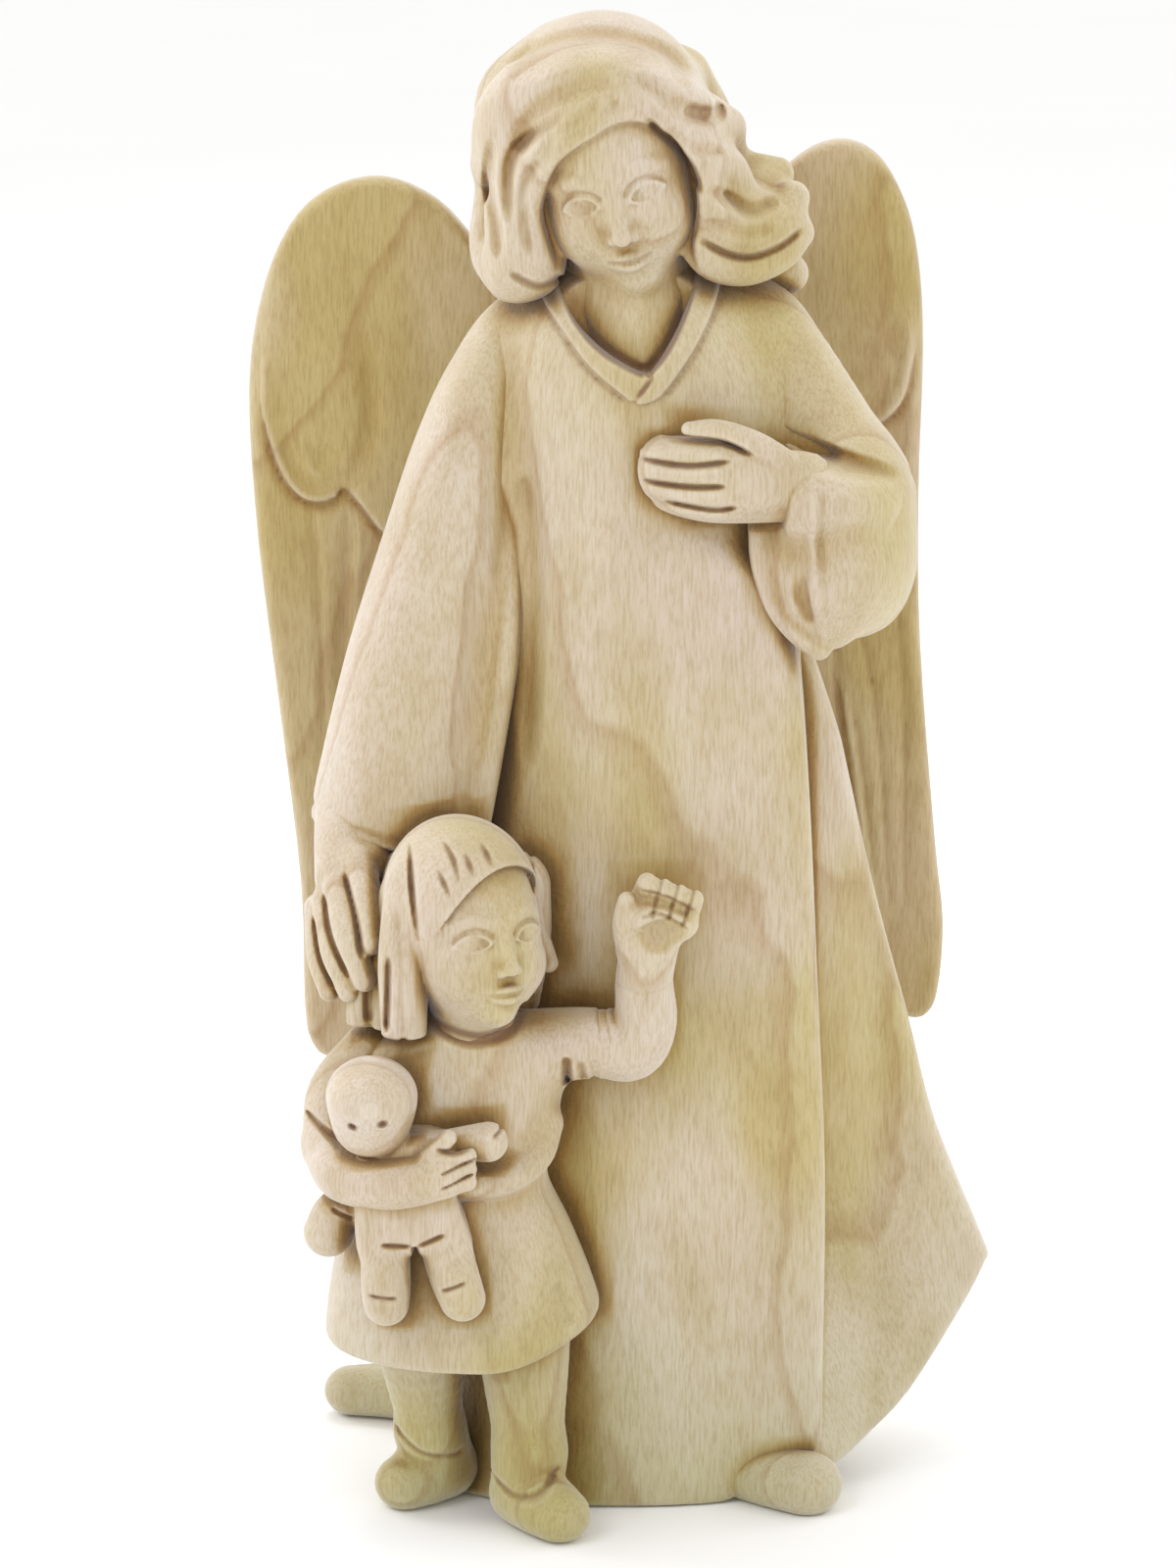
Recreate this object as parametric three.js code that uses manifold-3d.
// A carved wooden guardian angel with a girl and her doll, pieced together from separate blocks.
// Millimetres, +Z up, the front towards -Y, the origin on the floor under the angel's robe.
// "Left" and "right" in a piece's name are the figure's own, so the angel's right wing is at -X.
import * as THREE from "three";
import { mergeVertices } from "three/addons/utils/BufferGeometryUtils.js";
import Module from "manifold-3d";

const wasm = await Module();
wasm.setup();

// Driving dimensions
const HEIGHT = 297; // floor to the top of the angel's hair
const GLUE_GAP = 0.3; // room left all round a piece that is bedded in another
const WING_THICKNESS = 8;
const TRAIN_THICKNESS = 12;
const DOWEL_RADIUS = 3;
const SMALL_DOWEL_RADIUS = 2;
const DOWEL_SIDES = 12;

const MAPLE = { color: "#e0cfa8", roughness: 0.62, metalness: 0 };
const BEECH = { color: "#c8a173", roughness: 0.7, metalness: 0 };

// ---- solids -------------------------------------------------------------------------------

// A three.js geometry as a manifold-3d solid, turned inside out if its faces point inwards.
function solidOf(geometry) {
  const bare = geometry.clone();
  for (const name of Object.keys(bare.attributes)) if (name !== "position") bare.deleteAttribute(name);
  const merged = mergeVertices(bare, 1e-4);
  const triVerts = new Uint32Array(merged.index.array);
  const vertProperties = new Float32Array(merged.attributes.position.array);
  const made = new wasm.Manifold(new wasm.Mesh({ numProp: 3, vertProperties, triVerts }));
  if (made.volume() > 0) return made;
  for (let i = 0; i < triVerts.length; i += 3) {
    [triVerts[i + 1], triVerts[i + 2]] = [triVerts[i + 2], triVerts[i + 1]];
  }
  return new wasm.Manifold(new wasm.Mesh({ numProp: 3, vertProperties, triVerts }));
}

function geometryOf(solid) {
  const { vertProperties, triVerts } = solid.getMesh();
  const geometry = new THREE.BufferGeometry();
  geometry.setAttribute("position", new THREE.BufferAttribute(new Float32Array(vertProperties), 3));
  geometry.setIndex(new THREE.BufferAttribute(new Uint32Array(triVerts), 1));
  const flat = geometry.toNonIndexed();
  flat.computeVertexNormals();
  return flat;
}

// A closed skin over a row of rings, each with the same number of points, capped at both ends.
function skinOf(rings) {
  const sides = rings[0].length;
  const centre = (ring) => ring.reduce((sum, p) => sum.add(p), new THREE.Vector3()).divideScalar(sides);
  const points = [...rings.flat(), centre(rings[0]), centre(rings.at(-1))];
  const [first, last] = [points.length - 2, points.length - 1];
  const index = [];
  for (let i = 0; i < sides; i++) {
    const next = (i + 1) % sides;
    for (let r = 0; r + 1 < rings.length; r++) {
      const [a, b] = [r * sides + i, r * sides + next];
      index.push(a, b, b + sides, a, b + sides, a + sides);
    }
    const top = (rings.length - 1) * sides;
    index.push(first, next, i, last, top + i, top + next);
  }
  return solidOf(new THREE.BufferGeometry().setFromPoints(points).setIndex(index));
}

// ---- forms: each takes how far to swell, so that the same form also cuts its own bed ---------

// An egg: centre, half sizes, and turns about X, Y and Z in degrees.
const ball = (at, half, turn = [0, 0, 0], rows = 8) => (swell) => {
  const geometry = new THREE.SphereGeometry(1, rows * 2 - 4, rows);
  geometry.scale(...half.map((r) => r + swell));
  const radians = turn.map(THREE.MathUtils.degToRad);
  geometry.applyMatrix4(new THREE.Matrix4().makeRotationFromEuler(new THREE.Euler(...radians)));
  return solidOf(geometry.translate(...at));
};

// A tapering limb, lock or finger along a smooth path. Each radius is one number or a pair,
// the first of which lies along the direction `across`.
const limb = (path, radii, across = [0, 1, 0], sides = 8) => (swell) => {
  const curve = new THREE.CatmullRomCurve3(path.map((p) => new THREE.Vector3(...p)));
  const pairs = radii.map((r) => (Array.isArray(r) ? r : [r, r]));
  const steps = path.length > 2 ? path.length + 1 : 1;
  const wide = new THREE.Vector3(...across);
  const ringAt = (t, share, push) => {
    const place = t * (pairs.length - 1);
    const low = Math.min(Math.floor(place), pairs.length - 2);
    const radius = [0, 1].map((k) => THREE.MathUtils.lerp(pairs[low][k], pairs[low + 1][k], place - low));
    const along = curve.getTangent(t);
    const b = along.clone().cross(wide).normalize();
    const a = b.clone().cross(along);
    const centre = curve.getPoint(t).addScaledVector(along, push * (Math.min(...radius) + swell));
    return Array.from({ length: sides }, (_, i) => {
      const angle = (2 * Math.PI * i) / sides;
      return centre
        .clone()
        .addScaledVector(a, Math.cos(angle) * (radius[0] + swell) * share)
        .addScaledVector(b, Math.sin(angle) * (radius[1] + swell) * share);
    });
  };
  const body = Array.from({ length: steps + 1 }, (_, i) => ringAt(i / steps, 1, 0));
  return skinOf([ringAt(0, 0.6, -0.8), ...body, ringAt(1, 0.6, 0.8)]);
};

// A stack of level rounded sections, each [height, centre x, centre y, half width, half depth].
const stack = (sections, squareness = 2.3, sides = 24) => (swell) => {
  const level = (values, t) => new THREE.SplineCurve(values.map((v, i) => new THREE.Vector2(i, v))).getPoint(t).y;
  const count = sections.length + 2;
  const power = 2 / squareness;
  const bend = (v) => Math.sign(v) * Math.abs(v) ** power;
  const rings = Array.from({ length: count + 1 }, (_, i) => {
    const [z, cx, cy, rx, ry] = [0, 1, 2, 3, 4].map((k) => level(sections.map((s) => s[k]), i / count));
    return Array.from({ length: sides }, (_, j) => {
      const angle = (2 * Math.PI * j) / sides;
      const x = cx + (rx + swell) * bend(Math.cos(angle));
      return new THREE.Vector3(x, cy + (ry + swell) * bend(Math.sin(angle)), z);
    });
  });
  return skinOf(rings);
};

// A flat board with rounded edges, cut to a smooth outline of [x, z] points, its back at y.
// It is swung about the upright line at `hinge` [x, y], positive sweeping the +X side backwards.
const board = (outline, thickness, y, hinge = [0, 0], sweep = 0, edge = 2.5) => (swell) => {
  const rim = new THREE.CatmullRomCurve3(outline.map(([x, z]) => new THREE.Vector3(x, z, 0)), true);
  const shape = new THREE.Shape(rim.getSpacedPoints(34).slice(0, -1).map((p) => new THREE.Vector2(p.x, p.y)));
  const geometry = new THREE.ExtrudeGeometry(shape, {
    depth: thickness - 2 * edge,
    bevelThickness: edge + swell,
    bevelSize: edge * 0.8 + swell,
    bevelOffset: -edge * 0.8,
    bevelSegments: 1,
    curveSegments: 1,
  });
  geometry.rotateX(Math.PI / 2).translate(-hinge[0], y - edge - hinge[1], 0);
  geometry.rotateZ(THREE.MathUtils.degToRad(sweep)).translate(hinge[0], hinge[1], 0);
  return solidOf(geometry);
};

// A round dowel from one point to another.
const dowel = (from, to, radius) => (swell) => {
  const [start, end] = [new THREE.Vector3(...from), new THREE.Vector3(...to)];
  const along = end.clone().sub(start);
  const length = along.length() + 2 * swell;
  const geometry = new THREE.CylinderGeometry(radius + swell, radius + swell, length, DOWEL_SIDES);
  geometry.applyQuaternion(
    new THREE.Quaternion().setFromUnitVectors(new THREE.Vector3(0, 1, 0), along.normalize()),
  );
  return solidOf(geometry.translate(...start.add(end).divideScalar(2)));
};

const joined = (forms, swell) => forms.map((form) => form(swell)).reduce((a, b) => a.add(b));

// ---- the carved blocks ----------------------------------------------------------------------

const pieces = {};

// The trunk: the angel's chest and robe, from the shoulders to the hem on the floor.
pieces.angel_robe = [
  stack([
    [-4, 1, -1, 43, 34],
    [12, 2, -1, 41.5, 33],
    [40, 4, -2, 38, 30.5],
    [80, 5, -3, 36.5, 28.5],
    [125, 6, -3, 34, 27],
    [165, 6, -3, 31.5, 26.5],
    [200, 6, -2, 31, 27],
    [220, 5, -1, 31, 25],
    [234, 4, -2, 25, 21],
    [243, 4, -5, 15, 15],
    [247, 4, -6, 8, 9],
  ]),
  // the two ends of the V collar
  limb([[-13, -19, 240], [-6, -26, 232], [5, -29, 223]], [[2, 2.8], [2, 2.8], [2, 2.8]]),
  limb([[20, -18, 242], [14, -26, 232], [5, -29, 223]], [[2, 2.8], [2, 2.8], [2, 2.8]]),
];

// The flying corner of the robe, glued to the trunk's side.
pieces.robe_train = [
  board(
    [
      [36, 178], [44, 150], [50, 132], [58, 108], [66, 86], [74, 64], [84, 43], [84, 38], [78, 29],
      [65, 15], [53, 9], [45, 6.5], [37, 6], [34, 10], [33, 60], [32, 120], [32, 174],
    ],
    TRAIN_THICKNESS, 0, [38, -10], 35, 4,
  ),
];

// Each wing is carved from a board: outer edge, rounded top, and a root behind the shoulder.
pieces.angel_right_wing = [
  board(
    [
      [-6, 214], [-14, 236], [-28, 250], [-47, 259.5], [-63, 252.5], [-72, 235], [-75, 213],
      [-73, 185], [-69.5, 150], [-65.5, 113], [-65, 86], [-60, 75.5], [-51, 80], [-37, 105],
      [-20, 150], [-8, 190],
    ],
    WING_THICKNESS, 25, [-6, 21], -9,
  ),
];
pieces.angel_left_wing = [
  board(
    [
      [14, 220], [20, 243], [31, 260], [44, 267], [55, 261.5], [61, 246], [62.5, 224],
      [62, 165], [65.5, 122], [68.5, 103], [67, 87], [60, 82.5], [51, 90], [39, 115],
      [24, 155], [15, 195],
    ],
    WING_THICKNESS, 26, [14, 22], 13,
  ),
];

// The angel's head, bowed and leaning, with a neck plug, a face and wavy locks.
pieces.angel_head = [
  ball([-1, -6, 271], [18.5, 20, 24], [24, -12, 0], 10),
  limb([[4, -8, 256], [3, -9, 240], [4, -10, 231]], [12, 10.5, 9]),
  ball([-3.5, 0, 275], [24, 20.5, 21.5], [14, -12, 0], 10),
  limb([[-18, -12, 285], [-25, -10, 272], [-24, -11, 256], [-19, -15, 245]], [[6, 5], [7, 6], [7, 6], [5, 5]]),
  limb([[-22, 2, 280], [-26, 1, 264], [-24, -2, 250]], [7, 7, 6]),
  limb([[12, -14, 284], [19, -12, 272], [20, -10, 259], [26, -9, 247], [33, -6, 249]], [5, 6.5, 7, 5, 3]),
  limb([[16, 0, 282], [23, 1, 270], [25, 1, 258], [33, 1, 254]], [6, 7, 6.5, 4.5]),
  limb([[14, 8, 268], [22, 6, 256], [29, 2, 245], [35, -2, 244]], [8, 8, 6, 3.5]),
  limb([[-14, 12, 268], [-14, 12, 250], [-12, 11, 240]], [9, 8, 5]),
  limb([[6, 12, 268], [8, 13, 250], [8, 12, 240]], [10, 9, 5]),
];

// The hanging sleeve on the angel's right side: a bell that opens over the hand.
pieces.angel_right_sleeve = [
  stack(
    [
      [139, -43, -17, 16.5, 16],
      [152, -41.5, -14.5, 16.5, 16.5],
      [172, -37, -11, 15.5, 16],
      [195, -32.5, -7, 13.5, 15.5],
      [215, -28, -4, 12, 14.5],
      [230, -23, -3, 9.5, 12],
      [239, -19, -2, 5, 6],
    ],
    2.1, 22,
  ),
];

// The bent sleeve on the angel's left side: upper arm, forearm and the drape under it.
pieces.angel_left_sleeve = [
  limb([[26, -3, 236], [37, -5, 225], [45, -9, 209], [47, -12, 201]], [8, 13, 13, 11.5]),
  ball([46.5, -19, 198], [12.5, 13, 20], [-14, 14, -8], 10),
  limb([[50, -16, 203], [43, -25, 207], [39, -28, 206]], [9, 8.5, 8]),
  limb([[47, -18, 190], [43, -23, 182], [41, -24, 178]], [10, 7, 4.5]),
];

// The hand laid on the chest.
pieces.angel_left_hand = [
  limb([[40, -29, 207], [29, -33, 207.5], [23, -34, 208.5]], [[5, 6.5], [4.5, 7], [4, 7]], [0, 1, 0.2]),
  ...[0, 1, 2, 3].map((i) =>
    limb(
      [[22, -34, 213.5 - 4 * i], [13, -36 + 0.4 * i, 213 - 4 * i], [6 + 1.6 * i, -33, 213.4 - 3.7 * i]],
      [2.5, 2.6, 1.9], [0, 1, 0], 6,
    ),
  ),
  limb([[28, -34, 214], [20, -35, 219], [12, -34, 218]], [3, 2.7, 2], [0, 1, 0], 6),
];

// The hand on the girl's head.
pieces.angel_right_hand = [
  limb([[-51, -20, 146], [-52.5, -26, 134], [-53, -31, 126]], [[5, 6.5], [5, 6.5], [4.5, 6]], [0, 1, 0]),
  limb([[-50, -29, 132], [-47, -34, 125], [-45.5, -37, 119]], [3, 2.8, 2.2], [0, 1, 0], 6),
  ...[0, 1, 2].map((i) =>
    limb(
      [[-53 - 1.8 * i, -33 + 2 * i, 126 - i], [-51.5 - 2.5 * i, -38 + 3 * i, 117 - i], [-48 - 2.5 * i, -40 + 3.5 * i, 109.5 - i]],
      [2.6, 2.6, 2], [0, 1, 0], 6,
    ),
  ),
];

const shoe = (heel, toe, width, height) =>
  limb([heel, heel.map((v, i) => (v + toe[i]) / 2), toe], [[height, width * 0.8], [height, width], [height * 0.8, width * 0.85]], [0, 0, 1], 10);

pieces.angel_right_shoe = [shoe([-38, 3, 4.5], [-54, 6, 5], 8, 7)];
pieces.angel_left_shoe = [shoe([34, -18, 4.5], [38.5, -28, 4.5], 8, 6.5)];

// The girl: dress and chest in one block, with head, arms and legs set into it.
pieces.girl_dress = [
  stack([
    [36, -30.5, -36, 26.5, 21],
    [44, -30.5, -36, 25.5, 20],
    [60, -31, -35, 22, 18],
    [76, -32, -35, 19, 16],
    [88, -32, -35, 19.5, 15],
    [97, -31.5, -36, 19, 12.5],
    [102, -31, -38, 11, 9],
    [104, -31, -39, 6, 5],
  ]),
  limb([[-15, -38, 96], [-6, -38, 95], [2, -40, 94]], [8, 8, 7]),
];
pieces.girl_head = [
  limb([[-29, -40, 112], [-30, -40, 103], [-30.5, -40, 99]], [8, 7.5, 7]),
  ball([-26, -43.5, 120], [14.5, 15, 17.5], [8, 0, 30], 10),
  ball([-31, -40, 126], [16.5, 16, 18.5], [0, 0, 30], 10),
  limb([[-42, -43, 131], [-43, -47, 116], [-42, -48, 103]], [[6, 4], [6, 4.5], [6, 4]]),
  limb([[-41, -31, 128], [-43, -31, 114], [-42, -32, 104]], [7, 6.5, 5]),
];
pieces.girl_raised_arm = [
  limb([[0, -40, 95.5], [7, -42, 97], [9.5, -43, 103], [9, -44, 112], [8, -44.5, 120]], [6.5, 7.5, 7, 6.4, 5]),
  ball([8.5, -45.5, 126], [7, 3.6, 6.5], [-14, 0, 0]),
  ...[0, 1, 2, 3].map((i) => limb([[5.5 + 2.6 * i, -45, 128], [6 + 2.9 * i, -46, 134.5 - 0.5 * i * (i - 1)]], [1.9, 1.6], [0, 1, 0], 6)),
  limb([[4, -46, 122], [1.8, -48, 127], [1.4, -48.5, 130]], [2.6, 2.2, 1.7], [0, 1, 0], 6),
];
pieces.girl_hugging_arm = [
  limb([[-47, -38, 94], [-53, -42, 85], [-53, -49, 78], [-43, -55, 78], [-33, -57, 81]], [6, 7, 6.5, 5.4, 4.4]),
  ...[0, 1, 2].map((i) => limb([[-34, -57, 82.5 - 2.6 * i], [-28.5, -58, 84 - 2.8 * i], [-26, -56.5, 84 - 2.9 * i]], [1.9, 1.8, 1.5], [0, 1, 0], 6)),
  limb([[-35, -57, 84], [-31.5, -58.5, 88]], [2, 1.7], [0, 1, 0], 6),
];

const girlLeg = (x, y, toe) => [
  limb([[x, y, 44], [x, y, 30], [x, y - 0.5, 12]], [9, 8.6, 6.8], [0, 1, 0], 10),
  shoe([x, y + 1, 4.5], toe, 8, 7.5),
];
pieces.girl_right_leg = girlLeg(-37.5, -34, [-41, -42, 4.5]);
pieces.girl_left_leg = girlLeg(-18.5, -42, [-12.5, -54, 4]);

// The doll under the girl's arm.
pieces.doll = [
  ball([-46.3, -59, 90.5], [8.2, 7, 10.6], [0, 8, 0], 9),
  limb([[-45, -56, 82], [-42, -56.5, 72], [-40, -57.5, 62]], [[5, 6], [5, 7.5], [5, 8.5]]),
  limb([[-44, -58, 62], [-44.5, -60, 50]], [4.4, 4.2]),
  limb([[-35, -58, 63], [-29.5, -60, 52]], [4.4, 4.4]),
  limb([[-47, -54, 72], [-55, -50, 66]], [4.2, 4.4]),
  limb([[-40, -57, 77], [-29, -57, 82], [-23, -55, 85.5]], [3.2, 3.4, 3.8]),
];

// ---- hidden dowels --------------------------------------------------------------------------

const dowels = {
  right_wing_upper_dowel: dowel([-12, 6, 212], [-12, 22.5, 212], DOWEL_RADIUS),
  right_wing_lower_dowel: dowel([-12, 6, 186], [-12, 22.5, 186], DOWEL_RADIUS),
  left_wing_upper_dowel: dowel([20, 6, 214], [20, 24, 214], DOWEL_RADIUS),
  left_wing_lower_dowel: dowel([20, 6, 188], [20, 24, 188], DOWEL_RADIUS),
  neck_dowel: dowel([4, -8, 214], [3.5, -7, 246], DOWEL_RADIUS),
  train_upper_dowel: dowel([24, -15, 90], [50, 3, 90], DOWEL_RADIUS),
  train_lower_dowel: dowel([24, -15, 40], [50, 3, 40], DOWEL_RADIUS),
  girl_upper_dowel: dowel([-24, -40, 84], [-22, -8, 84], DOWEL_RADIUS),
  girl_lower_dowel: dowel([-24, -40, 56], [-22, -8, 56], DOWEL_RADIUS),
  girl_neck_dowel: dowel([-30.5, -38, 86], [-30, -39, 112], SMALL_DOWEL_RADIUS),
  doll_dowel: dowel([-40.5, -59, 69], [-38, -44, 69], SMALL_DOWEL_RADIUS),
};

// ---- assembly: which pieces are bedded in which ----------------------------------------------

const beds = {
  angel_robe: [
    "robe_train", "angel_right_wing", "angel_left_wing", "angel_head", "angel_right_sleeve",
    "angel_left_sleeve", "angel_left_hand", "angel_right_shoe", "angel_left_shoe", "girl_dress",
    "girl_head", "girl_raised_arm", "girl_right_leg", "girl_left_leg",
  ],
  robe_train: ["angel_left_shoe", "angel_left_wing", "angel_left_sleeve"],
  angel_right_wing: ["angel_right_sleeve", "angel_head"],
  angel_left_wing: ["angel_head", "angel_left_sleeve"],
  angel_right_sleeve: ["angel_right_hand", "girl_head", "angel_head"],
  angel_left_sleeve: ["angel_left_hand", "angel_head"],
  girl_head: ["angel_right_hand", "girl_hugging_arm", "doll"],
  girl_dress: [
    "girl_head", "girl_raised_arm", "girl_hugging_arm", "girl_right_leg", "girl_left_leg", "doll",
    "angel_right_hand",
  ],
  girl_hugging_arm: ["doll"],
};
const dowelled = {
  right_wing_upper_dowel: ["angel_right_wing", "angel_robe"],
  right_wing_lower_dowel: ["angel_right_wing", "angel_robe"],
  left_wing_upper_dowel: ["angel_left_wing", "angel_robe"],
  left_wing_lower_dowel: ["angel_left_wing", "angel_robe"],
  neck_dowel: ["angel_head", "angel_robe"],
  train_upper_dowel: ["robe_train", "angel_robe"],
  train_lower_dowel: ["robe_train", "angel_robe"],
  girl_upper_dowel: ["girl_dress", "angel_robe"],
  girl_lower_dowel: ["girl_dress", "angel_robe"],
  girl_neck_dowel: ["girl_head", "girl_dress"],
  doll_dowel: ["doll", "girl_dress"],
};

const largest = (solid) => solid.decompose().sort((a, b) => b.volume() - a.volume())[0];

function carved(name) {
  let solid = joined(pieces[name], 0);
  for (const guest of beds[name] ?? []) solid = solid.subtract(joined(pieces[guest], GLUE_GAP));
  for (const [pin, hosts] of Object.entries(dowelled)) {
    if (hosts.includes(name)) solid = solid.subtract(dowels[pin](GLUE_GAP));
  }
  return largest(solid.trimByPlane([0, 0, 1], 0));
}

const figure = new THREE.Group();
function place(name, solid, finish) {
  const mesh = new THREE.Mesh(geometryOf(solid), new THREE.MeshStandardMaterial(finish));
  mesh.name = name;
  figure.add(mesh);
}
for (const name of Object.keys(pieces)) place(name, carved(name), MAPLE);
for (const name of Object.keys(dowels)) place(name, dowels[name](0), BEECH);

export default figure;
